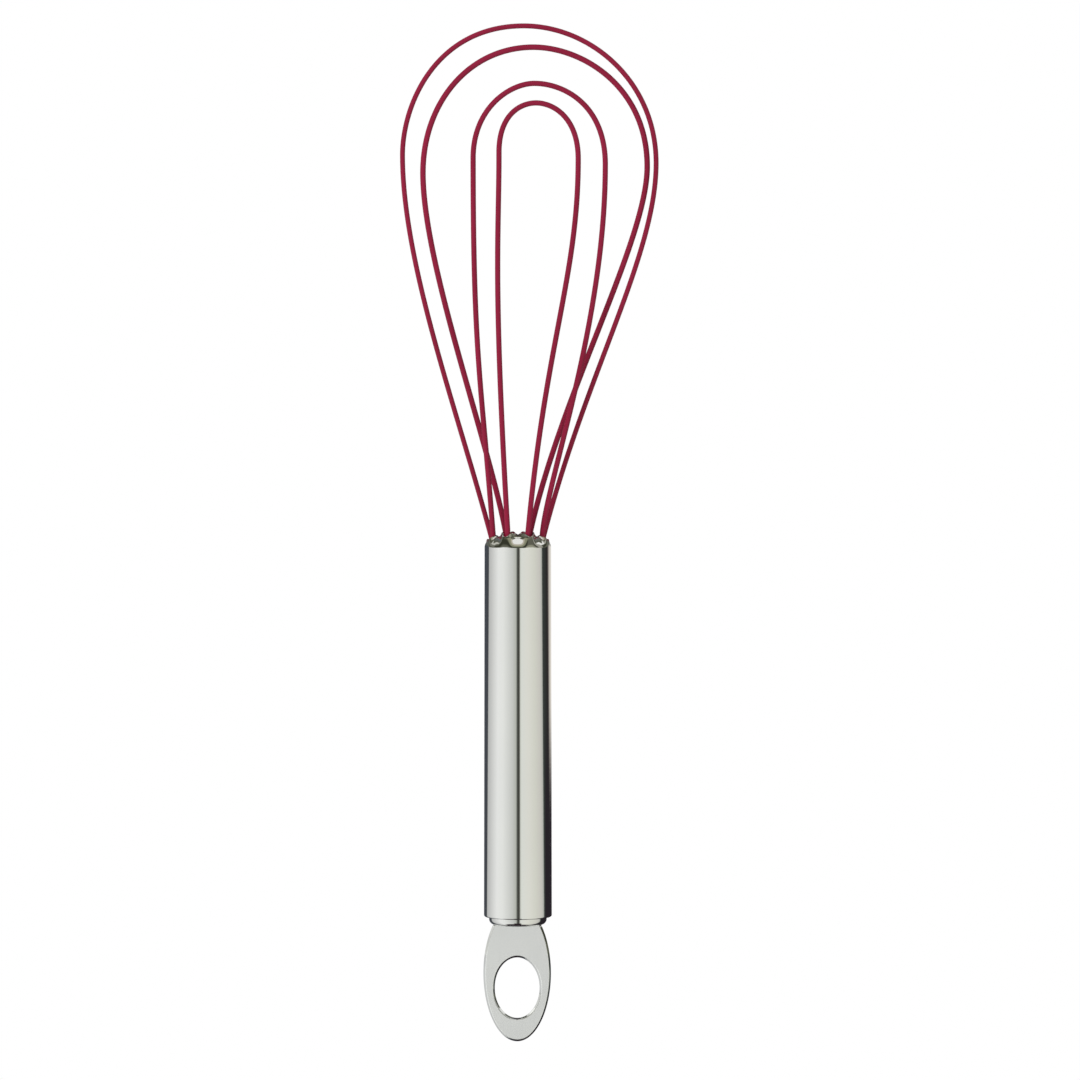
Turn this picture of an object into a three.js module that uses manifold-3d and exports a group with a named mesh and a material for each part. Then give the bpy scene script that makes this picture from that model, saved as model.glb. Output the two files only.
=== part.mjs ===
// A flat whisk: four nested silicone-covered wire loops in a crimped stainless tube handle,
// with an oval hanger plate. Millimetres. +Z runs along the handle from the hanger to the loops,
// X is across the loops and -Y is the front. The origin is on the handle's axis, at mid-thickness
// of the hanger plate, between its hole and the end cap.
import * as THREE from 'three';
import * as BufferGeometryUtils from 'three/addons/utils/BufferGeometryUtils.js';
import Module from 'manifold-3d';

const wasm = await Module();
wasm.setup();

// ---- Driving dimensions -------------------------------------------------------------------------

// Handle tube: 3/4 inch stainless tube that narrows a little towards the mouth. It is turned in at
// the cap end, and crimped between the wires at the mouth.
const tubeRadius = 19.05 / 2;
const tubeTaper = 0.1;
const tubeWall = 0.8;
const tubeBottomZ = 6.6;
const tubeEdgeRadius = 0.5;
const lipRadius = 8.35;
const lipHeight = 1.0;
const shoulderZ = 111.5;
const rimWall = 0.45;
const tubeSegments = 64;

// Crimp: how far the tube is pushed in at a wire and at a dent between wires, and how far above the
// shoulder that is reached. The press starts gently and gets steeper up to there; above it the ears
// stand nearly upright. The rim's height at the front and back is given at a wire, at a dent and at the
// ears on both sides of a dent, and it drops towards the sides of the handle.
const wireCount = 8;
const pinchAtWire = 0.35;
const pinchAtDent = 1.85;
const pressHeight = 3.0;
const pressStart = 0.4;
const pressFillet = 0.3;
const pressAbove = 0.2;
const rimHeightAtWire = 3.2;
const rimHeightAtEar = 4.15;
const rimHeightAtDent = 3.3;
const rimDrop = 2.1;
const crimpLevels = 5;

// Wires: a spring core inside a silicone sleeve. Each loop states its own sleeve radius.
const boreRadius = 0.58;
const coreRadius = 0.5;
const coreEndZ = 86;
const sleeveEndZ = 104;
const wireSides = 6;

// Wire ring: where the eight wire ends stand in the guide and in the mouth.
const guideRing = 7.2;
const mouthRing = 7.42;
const mouthZ = 113.4;
const bendZ = 109.8;
const bendPull = 1.3;
const crownPlane = 0.9;

// Guide plug and resin, both inside the tube behind the mouth.
const plugRadius = 8.4;
const guideBottomZ = 103;
const guideTopZ = 109.6;
const guideHoleRadius = 0.92;
const resinBottomZ = 90;
const resinTopZ = 102.7;
const resinHoleRadius = 0.7;
const holeSegments = 12;
const plugSegments = 40;

// End cap: a cup whose boss stands out of the tube and whose flange is held by the tube's turned-in lip.
const capFaceZ = 4.4;
const capBossRadius = 8.16;
const capEdgeRadius = 1.5;
const capFlangeRadius = 8.5;
const capFlangeZ = 8.3;
const capFloorZ = 8.0;
const capTopZ = 14;
const capSkirtWall = 1.0;
const capSegments = 48;

// Hanger plate: an oval with an oval hole and rounded edges, cut off straight below the cap. It hangs
// a little to the left. A thinner tang carries on from it through the cap.
const plateThickness = 2;
const plateEdge = 0.6;
const plateEdgeSteps = 2;
const plateCentreX = -0.2;
const plateHalfWidth = 9.6;
const plateHalfLength = 19.5;
const plateCentreZ = -9.5;
const plateTopZ = capFaceZ - 0.15;
const hangHoleHalfWidth = 6.35;
const hangHoleHalfLength = 8.6;
const hangHoleCentreZ = -13.7;
const plateSegments = 18;
const tangThickness = 1.6;
const tangHalfWidth = 5;
const tangBottomZ = 2.5;
const tangTopZ = 12.6;
const tangClearance = 0.3;

// Retaining pin: crosses the tang inside the cap.
const pinRadius = 1.25;
const pinLength = 9;
const pinHoleRadius = 1.5;
const pinSegments = 24;
const pinZ = capFloorZ + pinRadius + 0.3;

// Loops, widest first. Radius is the sleeve's, and ring is the angle of the loop's feet from the front
// or back of the handle. Each side gives foot (x at the mouth), lean (degrees outwards there) and
// footPull (how far that lean carries), then x and z of the widest point and sidePull (how far the
// wire runs straight below it), then the crown's roundness: rise and run are shares of the height and
// width from the widest point to the top.
const loops = [
  {
    name: 'outer_loop',
    radius: 0.71,
    plane: 'back',
    ring: 67.5,
    top: { x: 1.7, z: 258.7 },
    left: {
      foot: -7.35, lean: 14.75, footPull: 37.4,
      x: -32.6, z: 222.2, sidePull: 31,
      rise: 0.4, run: 0.72,
    },
    right: {
      foot: 7.05, lean: 14.2, footPull: 48.5,
      x: 39.1, z: 220, sidePull: 26.2,
      rise: 0.6, run: 0.5,
    },
  },
  {
    name: 'second_loop',
    radius: 0.8,
    plane: 'back',
    ring: 22.5,
    top: { x: 4.35, z: 252.7 },
    left: {
      foot: -3.1, lean: 9.8, footPull: 27.1,
      x: -26.85, z: 217.3, sidePull: 26.3,
      rise: 0.56, run: 0.58,
    },
    right: {
      foot: 3.05, lean: 11.8, footPull: 41.4,
      x: 36.6, z: 219.1, sidePull: 21.2,
      rise: 0.67, run: 0.43,
    },
  },
  {
    name: 'third_loop',
    radius: 0.76,
    plane: 'front',
    ring: 67.5,
    top: { x: 4.7, z: 242.4 },
    left: {
      foot: -6.85, lean: 4.3, footPull: 45.7,
      x: -12.6, z: 221.4, sidePull: 57,
      rise: 0.67, run: 0.4,
    },
    right: {
      foot: 6.85, lean: 0, footPull: 13.8,
      x: 24.7, z: 219.5, sidePull: 46.5,
      rise: 0.75, run: 0.4,
    },
  },
  {
    name: 'inner_loop',
    radius: 0.76,
    plane: 'front',
    ring: 22.5,
    top: { x: 5.15, z: 236.9 },
    left: {
      foot: -2.67, lean: 3.4, footPull: 75,
      x: -5.3, z: 223, sidePull: 25.3,
      rise: 0.75, run: 0.44,
    },
    right: {
      foot: 2.67, lean: 5.1, footPull: 56.5,
      x: 17.05, z: 221.1, sidePull: 33.4,
      rise: 0.75, run: 0.4,
    },
  },
];

// ---- Materials ----------------------------------------------------------------------------------

const tubeSteel = new THREE.MeshStandardMaterial({ color: 0xc9c9c4, metalness: 1, roughness: 0.22 });
const satinSteel = new THREE.MeshStandardMaterial({ color: 0xc4c4c2, metalness: 1, roughness: 0.42 });
const springSteel = new THREE.MeshStandardMaterial({ color: 0xa9abad, metalness: 1, roughness: 0.3 });
const silicone = new THREE.MeshStandardMaterial({ color: 0x942440, metalness: 0, roughness: 0.5 });
const nylon = new THREE.MeshStandardMaterial({ color: 0x3c3d3a, metalness: 0, roughness: 0.6 });
const resin = new THREE.MeshStandardMaterial({ color: 0xb9a67a, metalness: 0, roughness: 0.25 });

// ---- Helpers ------------------------------------------------------------------------------------

const radians = THREE.MathUtils.degToRad;

function toSolid(geometry) {
  const bare = geometry.clone();
  bare.deleteAttribute('normal');
  bare.deleteAttribute('uv');
  const merged = BufferGeometryUtils.mergeVertices(bare, 1e-4);
  const mesh = new wasm.Mesh({
    numProp: 3,
    vertProperties: new Float32Array(merged.attributes.position.array),
    triVerts: new Uint32Array(merged.index.array),
  });
  return new wasm.Manifold(mesh);
}

function toGeometry(solid) {
  const mesh = solid.getMesh();
  const geometry = new THREE.BufferGeometry();
  geometry.setAttribute('position', new THREE.BufferAttribute(mesh.vertProperties, 3));
  geometry.setIndex(new THREE.BufferAttribute(mesh.triVerts, 1));
  geometry.computeVertexNormals();
  return geometry;
}

// A profile of [radius, z] points turned about the handle's axis.
function turned(profile, segments) {
  const points = profile.map(([radius, z]) => new THREE.Vector2(radius, z));
  const geometry = new THREE.LatheGeometry(points, segments);
  geometry.rotateX(Math.PI / 2);
  return geometry;
}

// Points on a quarter round from angle start to end, in degrees, about a centre in the profile's plane.
function roundOff(centreRadius, centreZ, radius, start, end, steps) {
  const points = [];
  for (let i = 0; i <= steps; i += 1) {
    const angle = radians(start + ((end - start) * i) / steps);
    points.push([centreRadius + radius * Math.cos(angle), centreZ + radius * Math.sin(angle)]);
  }
  return points;
}

function uprightCylinder(radius, bottomZ, topZ, segments) {
  const geometry = new THREE.CylinderGeometry(radius, radius, topZ - bottomZ, segments);
  geometry.rotateX(Math.PI / 2);
  geometry.translate(0, 0, (bottomZ + topZ) / 2);
  return geometry;
}

function named(name, geometry, material) {
  const mesh = new THREE.Mesh(geometry, material);
  mesh.name = name;
  return mesh;
}

// ---- Handle tube --------------------------------------------------------------------------------

// One turn of the crimp pattern for each wire: 1 at a wire, -1 at a dent, flattened at both.
function crimpWave(angle) {
  return Math.sin((Math.PI / 2) * Math.cos(wireCount * angle - Math.PI));
}

// 1 at wires and at dents, -1 at the ears between them.
function earWave(angle) {
  return Math.cos(2 * wireCount * angle);
}

function pinch(angle) {
  const middle = (pinchAtDent + pinchAtWire) / 2;
  const swing = (pinchAtDent - pinchAtWire) / 2;
  return middle - swing * crimpWave(angle);
}

function rimHeight(angle) {
  const valleys = (rimHeightAtWire + rimHeightAtDent) / 2;
  const middle = (valleys + rimHeightAtEar) / 2;
  const earSwing = (rimHeightAtEar - valleys) / 2;
  const wireSwing = (rimHeightAtDent - rimHeightAtWire) / 2;
  const drop = rimDrop * Math.sin(angle) ** 4;
  return middle - drop - earSwing * earWave(angle) - wireSwing * crimpWave(angle);
}

// Share of the full pinch reached at a height above the shoulder.
function press(height) {
  const share = Math.min(height / pressHeight, 1);
  const above = height / pressHeight - share;
  const eased = pressStart * share + (1 - pressStart) * share * share;
  return (eased * share * (1 + pressFillet)) / (share + pressFillet) + pressAbove * above;
}

// The crimped end is drawn as a plain tube one unit high above the shoulder; crimp() then shapes it.
function crimp(geometry) {
  const position = geometry.attributes.position;
  for (let i = 0; i < position.count; i += 1) {
    const level = position.getZ(i) - shoulderZ;
    if (level > 0) {
      const x = position.getX(i);
      const y = position.getY(i);
      const angle = Math.atan2(x, y);
      const height = rimHeight(angle) * level;
      const scale = 1 - (pinch(angle) * press(height)) / Math.hypot(x, y);
      position.setXYZ(i, x * scale, y * scale, shoulderZ + height);
    }
  }
  geometry.computeVertexNormals();
  return geometry;
}

function handleTube() {
  const bottomRadius = tubeRadius + tubeTaper;
  const mouthRadius = tubeRadius - tubeTaper;
  const cornerRadius = bottomRadius - tubeEdgeRadius;
  const cornerZ = tubeBottomZ + tubeEdgeRadius;
  const lipSlope = bottomRadius - tubeWall - lipRadius;
  const outside = [];
  const inside = [];
  for (let i = 0; i <= crimpLevels; i += 1) {
    const level = i / crimpLevels;
    const wall = tubeWall + (rimWall - tubeWall) * level;
    outside.push([mouthRadius, shoulderZ + level]);
    inside.unshift([mouthRadius - wall, shoulderZ + level]);
  }
  const profile = [
    [lipRadius, tubeBottomZ],
    ...roundOff(cornerRadius, cornerZ, tubeEdgeRadius, -90, 0, 3),
    ...outside,
    ...inside,
    [bottomRadius - tubeWall, tubeBottomZ + lipHeight + lipSlope],
    [lipRadius, tubeBottomZ + lipHeight],
    [lipRadius, tubeBottomZ],
  ];
  return named('handle_tube', crimp(turned(profile, tubeSegments)), tubeSteel);
}

// ---- Wires --------------------------------------------------------------------------------------

// A wire's centre line: pieces of curve joined end to end, each walked in its own number of steps.
class WirePath extends THREE.Curve {
  constructor(pieces) {
    super();
    this.pieces = pieces;
    this.steps = pieces.reduce((sum, piece) => sum + piece.steps, 0);
  }

  getPoint(t, target = new THREE.Vector3()) {
    let step = THREE.MathUtils.clamp(t, 0, 1) * this.steps;
    let index = 0;
    while (step > this.pieces[index].steps && index < this.pieces.length - 1) {
      step -= this.pieces[index].steps;
      index += 1;
    }
    const piece = this.pieces[index];
    return piece.curve.getPoint(step / piece.steps, target);
  }

  getPointAt(u, target) {
    return this.getPoint(u, target);
  }

  getTangentAt(u, target) {
    return this.getTangent(u, target);
  }
}

function bezier(steps, ...points) {
  return { curve: new THREE.CubicBezierCurve3(...points), steps };
}

// Depth of a loop at a height: its plane leans from the ring at the mouth to just off centre at its top.
function depthAt(loop, z) {
  const sign = loop.plane === 'back' ? 1 : -1;
  const footY = sign * mouthRing * Math.cos(radians(loop.ring));
  const topY = sign * crownPlane;
  return footY + ((topY - footY) * (z - mouthZ)) / (loop.top.z - mouthZ);
}

// The pieces of one half of a loop, from the wire's end inside the handle up to the loop's top.
function halfLoop(loop, side, endZ) {
  const outwards = Math.sign(side.foot);
  const at = (x, z) => new THREE.Vector3(x, depthAt(loop, z), z);
  const lean = radians(side.lean);
  const foot = at(side.foot, mouthZ);
  const legX = side.foot + outwards * side.footPull * Math.sin(lean);
  const legEnd = at(legX, mouthZ + side.footPull * Math.cos(lean));
  const widest = at(side.x, side.z);
  const below = at(side.x, side.z - side.sidePull);
  const top = at(loop.top.x, loop.top.z);
  const crownSide = at(side.x, side.z + side.rise * (loop.top.z - side.z));
  const crownTop = at(loop.top.x + side.run * (side.x - loop.top.x), loop.top.z);
  const ringAngle = radians(loop.ring);
  const ringX = outwards * guideRing * Math.sin(ringAngle);
  const ringY = Math.sign(foot.y) * guideRing * Math.cos(ringAngle);
  const ringTop = new THREE.Vector3(ringX, ringY, bendZ);
  const bendStart = new THREE.Vector3(ringX, ringY, bendZ + bendPull);
  const bendEnd = foot.clone().addScaledVector(legEnd.clone().sub(foot).normalize(), -bendPull);
  const end = new THREE.Vector3(ringX, ringY, endZ);
  return [
    { curve: new THREE.LineCurve3(end, ringTop), steps: 1 },
    bezier(3, ringTop, bendStart, bendEnd, foot),
    bezier(9, foot, legEnd, below, widest),
    bezier(9, widest, crownSide, crownTop, top),
  ];
}

function reversed(piece) {
  const { curve, steps } = piece;
  if (curve.isLineCurve3) {
    return { curve: new THREE.LineCurve3(curve.v2, curve.v1), steps };
  }
  return bezier(steps, curve.v3, curve.v2, curve.v1, curve.v0);
}

function loopPath(loop, endZ) {
  const up = halfLoop(loop, loop.left, endZ);
  const down = halfLoop(loop, loop.right, endZ).reverse().map(reversed);
  return new WirePath([...up, ...down]);
}

function sweep(path, outerRadius, innerRadius = 0) {
  const section = new THREE.Shape();
  section.absarc(0, 0, outerRadius, 0, 2 * Math.PI, false);
  if (innerRadius > 0) {
    const bore = new THREE.Path();
    bore.absarc(0, 0, innerRadius, 0, 2 * Math.PI, true);
    section.holes.push(bore);
  }
  return new THREE.ExtrudeGeometry(section, {
    steps: path.steps,
    curveSegments: wireSides / 2,
    extrudePath: path,
  });
}

function loopWire(loop) {
  const core = sweep(loopPath(loop, coreEndZ), coreRadius);
  const sleeve = sweep(loopPath(loop, sleeveEndZ), loop.radius, boreRadius);
  return [
    named(`${loop.name}_core`, core, springSteel),
    named(`${loop.name}_sleeve`, sleeve, silicone),
  ];
}

// ---- Guide plug and resin -----------------------------------------------------------------------

// A round plug with one hole on the ring for each wire end.
function drilledPlug(bottomZ, topZ, holeRadius) {
  let solid = toSolid(uprightCylinder(plugRadius, bottomZ, topZ, plugSegments));
  for (let i = 0; i < wireCount; i += 1) {
    const angle = (2 * Math.PI * (i + 0.5)) / wireCount;
    const drill = uprightCylinder(holeRadius, bottomZ - 1, topZ + 1, holeSegments);
    drill.translate(guideRing * Math.cos(angle), guideRing * Math.sin(angle), 0);
    solid = solid.subtract(toSolid(drill));
  }
  return toGeometry(solid);
}

function wireGuide() {
  return named('wire_guide', drilledPlug(guideBottomZ, guideTopZ, guideHoleRadius), nylon);
}

function pottingResin() {
  return named('potting_resin', drilledPlug(resinBottomZ, resinTopZ, resinHoleRadius), resin);
}

// ---- End cap, hanger plate and pin --------------------------------------------------------------

function endCap() {
  const edgeCentre = capBossRadius - capEdgeRadius;
  const skirtRadius = capFlangeRadius - capSkirtWall;
  const cup = turned(
    [
      [0, capFaceZ],
      ...roundOff(edgeCentre, capFaceZ + capEdgeRadius, capEdgeRadius, -90, 0, 4),
      [capBossRadius, capFlangeZ],
      [capFlangeRadius, capFlangeZ],
      [capFlangeRadius, capTopZ],
      [skirtRadius, capTopZ],
      [skirtRadius, capFloorZ],
      [0, capFloorZ],
    ],
    capSegments,
  );
  const slotWidth = 2 * (tangHalfWidth + tangClearance);
  const slotThickness = tangThickness + 2 * tangClearance;
  const slot = new THREE.BoxGeometry(slotWidth, slotThickness, 2 * capTopZ);
  return named('end_cap', toGeometry(toSolid(cup).subtract(toSolid(slot))), satinSteel);
}

// A flat piece of the given thickness standing in the XZ plane, from an outline drawn in x and z.
// Its edges are rounded off over a width of edge.
function upright(outline, thickness, edge) {
  const piece = new THREE.ExtrudeGeometry(outline, {
    depth: thickness - 2 * edge,
    curveSegments: plateSegments,
    bevelEnabled: edge > 0,
    bevelThickness: edge,
    bevelSize: edge,
    bevelOffset: -edge,
    bevelSegments: plateEdgeSteps,
  });
  piece.translate(0, 0, edge - thickness / 2);
  piece.rotateX(Math.PI / 2);
  return piece;
}

// The oval with its hole, drawn a little past its flat top.
function plateOval() {
  const drawnTop = plateTopZ + 2 * plateEdge;
  const topAngle = Math.asin((drawnTop - plateCentreZ) / plateHalfLength);
  const outline = new THREE.Shape();
  outline.absellipse(
    plateCentreX, plateCentreZ, plateHalfWidth, plateHalfLength,
    Math.PI - topAngle, 2 * Math.PI + topAngle, false, 0,
  );
  outline.closePath();
  const hangHole = new THREE.Path();
  hangHole.absellipse(
    plateCentreX, hangHoleCentreZ, hangHoleHalfWidth, hangHoleHalfLength, 0, 2 * Math.PI, true, 0,
  );
  outline.holes.push(hangHole);
  return upright(outline, plateThickness, plateEdge);
}

function tang() {
  const outline = new THREE.Shape();
  outline.moveTo(-tangHalfWidth, tangBottomZ);
  outline.lineTo(tangHalfWidth, tangBottomZ);
  outline.lineTo(tangHalfWidth, tangTopZ);
  outline.lineTo(-tangHalfWidth, tangTopZ);
  outline.closePath();
  const pinHole = new THREE.Path();
  pinHole.absarc(0, pinZ, pinHoleRadius, 0, 2 * Math.PI, true);
  outline.holes.push(pinHole);
  return upright(outline, tangThickness, 0);
}

function hangerPlate() {
  const oval = toSolid(plateOval()).trimByPlane([0, 0, -1], -plateTopZ);
  return named('hanger_plate', toGeometry(oval.add(toSolid(tang()))), satinSteel);
}

function hangerPin() {
  const pin = new THREE.CylinderGeometry(pinRadius, pinRadius, pinLength, pinSegments);
  pin.translate(0, 0, pinZ);
  return named('hanger_pin', pin, springSteel);
}

// ---- Assembly -----------------------------------------------------------------------------------

const group = new THREE.Group();
group.add(handleTube(), wireGuide(), pottingResin(), endCap(), hangerPlate(), hangerPin());
for (const loop of loops) {
  group.add(...loopWire(loop));
}

export default group;
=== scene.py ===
"""Looks for the flat whisk: smooth wires, crimped tube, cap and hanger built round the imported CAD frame."""

import math

import bmesh
import bpy
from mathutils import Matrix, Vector


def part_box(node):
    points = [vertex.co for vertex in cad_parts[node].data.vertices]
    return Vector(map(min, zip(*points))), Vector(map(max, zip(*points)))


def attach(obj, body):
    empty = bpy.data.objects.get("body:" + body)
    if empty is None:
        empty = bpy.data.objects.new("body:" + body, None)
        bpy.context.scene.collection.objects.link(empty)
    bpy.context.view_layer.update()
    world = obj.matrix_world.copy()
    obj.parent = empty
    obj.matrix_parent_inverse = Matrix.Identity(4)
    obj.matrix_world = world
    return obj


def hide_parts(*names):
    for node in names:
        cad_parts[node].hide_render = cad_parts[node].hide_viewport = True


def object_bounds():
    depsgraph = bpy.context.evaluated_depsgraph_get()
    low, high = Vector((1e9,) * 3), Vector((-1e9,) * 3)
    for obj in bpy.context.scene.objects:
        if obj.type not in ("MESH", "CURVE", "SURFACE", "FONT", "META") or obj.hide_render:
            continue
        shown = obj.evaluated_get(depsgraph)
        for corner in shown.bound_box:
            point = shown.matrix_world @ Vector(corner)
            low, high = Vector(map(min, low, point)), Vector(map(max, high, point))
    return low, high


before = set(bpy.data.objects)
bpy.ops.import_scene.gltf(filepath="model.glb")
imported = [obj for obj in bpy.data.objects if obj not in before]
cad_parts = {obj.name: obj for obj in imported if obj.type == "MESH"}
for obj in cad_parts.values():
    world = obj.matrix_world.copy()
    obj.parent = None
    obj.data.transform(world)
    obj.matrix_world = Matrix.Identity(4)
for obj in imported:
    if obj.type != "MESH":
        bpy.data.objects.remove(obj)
cad_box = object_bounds()

# ---- Driving dimensions, in metres unless the name says otherwise -------------------------------

MM = 0.001

# Places read from the frame.
TUBE_LOW, TUBE_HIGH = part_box("handle_tube")
CAP_LOW, CAP_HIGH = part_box("end_cap")
PLATE_LOW, PLATE_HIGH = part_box("hanger_plate")
WHISK_LOW = cad_box[0]

# Tube: widest just above its turned-in bottom edge, narrowing evenly to the shoulder of the crimp.
TUBE_RADIUS = TUBE_HIGH.x
TUBE_NARROWING = 0.2 * MM
TUBE_WALL = 0.8 * MM
RIM_WALL = 0.45 * MM
TUBE_EDGE = 0.5 * MM
LIP_RADIUS = 8.35 * MM
LIP_HEIGHT = 1.0 * MM
LIP_CHAMFER = 0.1 * MM
THINNING_Z = 108.5 * MM
SHOULDER_Z = 111.5 * MM
TUBE_SEGMENTS = 384
EDGE_STEPS = 10

# Crimp at the mouth: how far the tube is pushed in at a wire and at a dent, and how far above the
# shoulder that is reached. The press starts gently and gets steeper up to there; above it the ears
# stand nearly upright. The rim's height is given at the front, and it drops towards the sides. The
# crown is the rounded top of its wall, as a level a little above the rim's.
WIRE_COUNT = 8
PINCH_AT_WIRE = 0.35 * MM
PINCH_AT_DENT = 1.85 * MM
PRESS_HEIGHT = 3.0 * MM
PRESS_START = 0.4
PRESS_FILLET = 0.3
PRESS_ABOVE = 0.2
RIM_AT_WIRE = 3.2 * MM
RIM_AT_EAR = 4.15 * MM
RIM_AT_DENT = 3.3 * MM
RIM_DROP = 2.1 * MM
CRIMP_LEVELS = 30
RIM_CROWN_LEVEL = 1.02

# Wires: a spring core in a silicone sleeve.
SLEEVE_BORE = 0.56 * MM
CORE_RADIUS = 0.5 * MM
CORE_END_Z = 86 * MM
SLEEVE_END_Z = 104 * MM
GUIDE_RING = 7.2 * MM
MOUTH_RING = 7.42 * MM
MOUTH_Z = 113.4 * MM
BEND_Z = 109.8 * MM
BEND_PULL = 1.3 * MM
CROWN_PLANE = 0.9 * MM
SLEEVE_SIDES = 20
CORE_SIDES = 12
STRAIGHT_STEPS = 3
BEND_STEPS = 8
CURVE_STEPS = 60

# Loops in millimetres and degrees, widest first. Radius is the sleeve's. Plane is 1 for the back and
# -1 for the front, and ring is the angle of the loop's feet from there. Each side gives foot (x at the
# mouth), lean (outwards there), foot_pull (how far that lean carries), x and z of the widest point,
# side_pull (how far the wire runs straight below it), and rise and run, the crown's roundness as
# shares of its height and width.
LOOPS = [
    {
        "name": "outer_loop",
        "radius": 0.71,
        "plane": 1,
        "ring": 67.5,
        "top": (1.7, 258.7),
        "left": dict(
            foot=-7.35, lean=14.75, foot_pull=37.4, x=-32.6, z=222.2, side_pull=31, rise=0.4, run=0.72
        ),
        "right": dict(
            foot=7.05, lean=14.2, foot_pull=48.5, x=39.1, z=220, side_pull=26.2, rise=0.6, run=0.5
        ),
    },
    {
        "name": "second_loop",
        "radius": 0.8,
        "plane": 1,
        "ring": 22.5,
        "top": (4.35, 252.7),
        "left": dict(
            foot=-3.1, lean=9.8, foot_pull=27.1, x=-26.85, z=217.3, side_pull=26.3, rise=0.56, run=0.58
        ),
        "right": dict(
            foot=3.05, lean=11.8, foot_pull=41.4, x=36.6, z=219.1, side_pull=21.2, rise=0.67, run=0.43
        ),
    },
    {
        "name": "third_loop",
        "radius": 0.76,
        "plane": -1,
        "ring": 67.5,
        "top": (4.7, 242.4),
        "left": dict(
            foot=-6.85, lean=4.3, foot_pull=45.7, x=-12.6, z=221.4, side_pull=57, rise=0.67, run=0.4
        ),
        "right": dict(
            foot=6.85, lean=0, foot_pull=13.8, x=24.7, z=219.5, side_pull=46.5, rise=0.75, run=0.4
        ),
    },
    {
        "name": "inner_loop",
        "radius": 0.76,
        "plane": -1,
        "ring": 22.5,
        "top": (5.15, 236.9),
        "left": dict(
            foot=-2.67, lean=3.4, foot_pull=75, x=-5.3, z=223, side_pull=25.3, rise=0.75, run=0.44
        ),
        "right": dict(
            foot=2.67, lean=5.1, foot_pull=56.5, x=17.05, z=221.1, side_pull=33.4, rise=0.75, run=0.4
        ),
    },
]

# End cap: a cup with a slot for the plate's tang.
CAP_BOSS_RADIUS = 8.16 * MM
CAP_EDGE = 1.5 * MM
CAP_FLANGE_RADIUS = 8.5 * MM
CAP_FLANGE_Z = 8.3 * MM
CAP_FLOOR_Z = 8.0 * MM
CAP_SKIRT = 1.0 * MM
CAP_FLAT_RADIUS = 4 * MM
CAP_MIDDLE_RADIUS = 0.02 * MM
CAP_SEGMENTS = 192

# Hanger plate: an oval with an oval hole, cut off straight under the cap. Its edges are chamfered, at
# the given angle to the face, and rounded on both sides of the chamfer.
PLATE_CENTRE_X = (PLATE_LOW.x + PLATE_HIGH.x) / 2
PLATE_HALF_THICKNESS = (PLATE_HIGH.y - PLATE_LOW.y) / 2
PLATE_HALF_WIDTH = 9.6 * MM
PLATE_HALF_LENGTH = 19.5 * MM
PLATE_CENTRE_Z = -9.5 * MM
PLATE_TOP_Z = 4.25 * MM
HOLE_HALF_WIDTH = 6.35 * MM
HOLE_HALF_LENGTH = 8.6 * MM
HOLE_CENTRE_Z = -13.7 * MM
CHAMFER = 0.75 * MM
CHAMFER_ANGLE = 52
FACE_ROUND = 0.2 * MM
SIDE_ROUND = 0.3 * MM
TOP_EDGE_SHARE = 0.15
SUPPORT = 0.05 * MM
PLATE_SEGMENTS = 360
ROUND_STEPS = 5
TANG_HALF_WIDTH = 5 * MM
TANG_HALF_THICKNESS = 0.8 * MM
TANG_BOTTOM_Z = 2.5 * MM
TANG_TOP_Z = PLATE_HIGH.z
TANG_CLEARANCE = 0.3 * MM
PIN_Z = 9.55 * MM
PIN_HOLE_RADIUS = 1.5 * MM
PIN_HOLE_HALF_LENGTH = 5 * MM
PIN_HOLE_SEGMENTS = 48

# Camera: level with the lower half of the loops, looking a little down through a long lens.
CAMERA_PLACE = Vector((6.27 * MM, -1.35, 158.6 * MM))
FRAME_CENTRE = Vector((6.27 * MM, 0, 113.5 * MM))
FRAME_WIDTH = 305.8 * MM
SENSOR = 36.0

# Edges that turn by more than these angles, in degrees, stay sharp in the shading.
STEEL_SHARP = 50
CAP_SHARP = 40
WIRE_SHARP = 60

# Studio.
FLOOR_DROP = 60 * MM
FLOOR_RADIUS = 4.0
FLOOR_SEGMENTS = 96
KEY_PLACE = (-0.7, -0.9, 0.5)
KEY_TARGET = (0, 0, 0.15)
KEY_WIDTH = 0.5
KEY_POWER = 9

# White cards round the hanger plate: name, place, target, width, height and brightness.
CARDS = [
    ("card_in_front", (-0.07, -0.25, 0.1), (-0.07, 0, 0.1), 0.26, 0.45, 0.57),
    ("card_on_the_left", (-1.2, 0.04, 0.82), (0, 0.04, 0.82), 1.68, 1.62, 0.6),
    ("card_behind", (0.1, 0.3, 0.15), (0.1, 0, 0.15), 1.0, 0.9, 0.52),
]


# ---- Mesh helpers -------------------------------------------------------------------------------

def new_piece(name, mesh, material, slot, *stands_for):
    """Puts a finished mesh in the scene as a piece that stands for CAD nodes and rides on the one body."""
    piece = bpy.data.objects.new(name, mesh)
    bpy.context.scene.collection.objects.link(piece)
    mesh.materials.clear()
    mesh.materials.append(material)
    for polygon in mesh.polygons:
        polygon.use_smooth = True
    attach(piece, "root")
    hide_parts(*stands_for)
    return piece


def ring_mesh(name, rings, closed=True):
    """A skin through rings of points. It runs on from the last ring to the first, or is capped at both."""
    mesh = bpy.data.meshes.new(name)
    count = len(rings[0])
    vertices = [point for ring in rings for point in ring]
    faces = []
    for r in range(len(rings) if closed else len(rings) - 1):
        low = r * count
        high = ((r + 1) % len(rings)) * count
        for i in range(count):
            j = (i + 1) % count
            faces.append((low + i, low + j, high + j, high + i))
    if not closed:
        faces.append(tuple(range(count)))
        faces.append(tuple(len(vertices) - 1 - i for i in range(count)))
    mesh.from_pydata(vertices, [], faces)
    make_consistent(mesh)
    return mesh


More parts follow.
